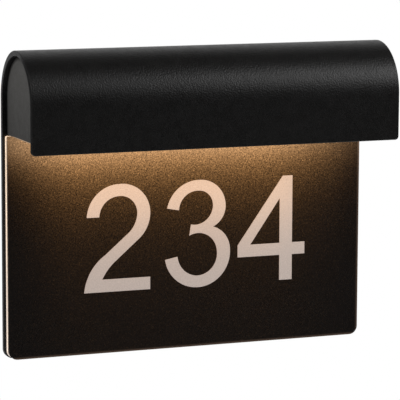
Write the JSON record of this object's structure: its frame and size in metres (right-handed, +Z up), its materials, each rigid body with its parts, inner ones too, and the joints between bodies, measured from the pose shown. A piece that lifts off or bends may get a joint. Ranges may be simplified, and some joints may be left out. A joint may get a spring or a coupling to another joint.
{
  "type": "illuminated house number sign",
  "caption": "Wall-mounted illuminated house number sign: a half-round lamp hood in one profile with its back plate, over an edge-lit light guide and a black plate with pale numerals.",
  "frame": {"origin": "centre of the two wall-screw slots, on the wall plane, level with the centre of the hood's curve", "axes": "+X along the sign to the right as seen from the street, +Y into the wall, +Z up"},
  "size_m": [0.26, 0.068, 0.21],
  "materials": {
    "shell_black": "matt black fine-textured powder coat on aluminium",
    "cap_black": "matt black fine-textured powder coat on aluminium",
    "plate_black": "black sand-textured coat on thin aluminium",
    "tray_black": "matt black coat on aluminium sheet",
    "digit_pale": "opal acrylic with a fine matt grain, lit from behind by the light guide",
    "clear_acrylic": "clear cast acrylic with polished edges, lit from its top edge",
    "white_film": "matt white",
    "opal_lens": "opal, lit from behind",
    "led_chip": "yellow phosphor in a white frame",
    "board_white": "white solder mask on an aluminium core",
    "board_green": "green solder mask",
    "plain_aluminium": "mill finish",
    "zinc_steel": "zinc plated",
    "zinc_screw": "zinc plated",
    "black_screw": "black oxide",
    "brass_clamp": "bright",
    "tinned_ring": "tinned copper",
    "white_plastic": "moulded",
    "grey_plastic": "moulded",
    "black_rubber": "soft matt",
    "grey_silicone": "soft",
    "brown_wire": "insulation",
    "blue_wire": "insulation",
    "green_wire": "green and yellow insulation",
    "red_wire": "insulation",
    "black_wire": "insulation"
  },
  "bodies": {
    "bracket": {"wall_bracket": "zinc_steel", "cable_bush": "black_rubber", "bracket_earth_screw": "zinc_screw"},
    "lamp": {"access_plugs": "black_rubber", "anchor_screws": "zinc_screw", "board_screws": "zinc_screw", "body_shell": "shell_black", "cap_screws": "zinc_screw", "carrier_screws": "zinc_screw", "clamp_plates": "zinc_steel", "clamp_screws": "zinc_screw", "cord_anchor": "white_plastic", "diffuser": "opal_lens", "diffuser_gasket": "grey_silicone", "digit_2": "digit_pale", "digit_3": "digit_pale", "digit_4": "digit_pale", "digit_4_centre": "plate_black", "downlight_leds": "led_chip", "driver_board": "board_green", "driver_case": "grey_plastic", "driver_lid": "grey_plastic", "driver_screws": "zinc_screw", "earth_ring": "tinned_ring", "earth_screw": "zinc_screw", "end_cap_left": "cap_black", "end_cap_right": "cap_black", "gear_tray": "tray_black", "guide_leds": "led_chip", "led_board": "board_white", "led_carrier": "plain_aluminium", "led_connector": "white_plastic", "light_guide": "clear_acrylic", "number_plate": "plate_black", "plate_screws": "zinc_screw", "plate_standoffs": "plain_aluminium", "reflector_film": "white_film", "seal_strip": "black_rubber", "terminal_block": "white_plastic", "terminal_clamps": "brass_clamp", "terminal_fixing_screw": "zinc_screw", "terminal_screws": "zinc_screw", "tray_screws": "black_screw", "wire_earth": "green_wire", "wire_led_minus": "black_wire", "wire_led_plus": "red_wire", "wire_live": "brown_wire", "wire_neutral": "blue_wire"}
  },
  "joints": [
    {"name": "lamp_slide", "type": "slide", "parent": "bracket", "child": "lamp", "axis": [0, -1, 0], "range_m": [0, 0.06]}
  ]
}
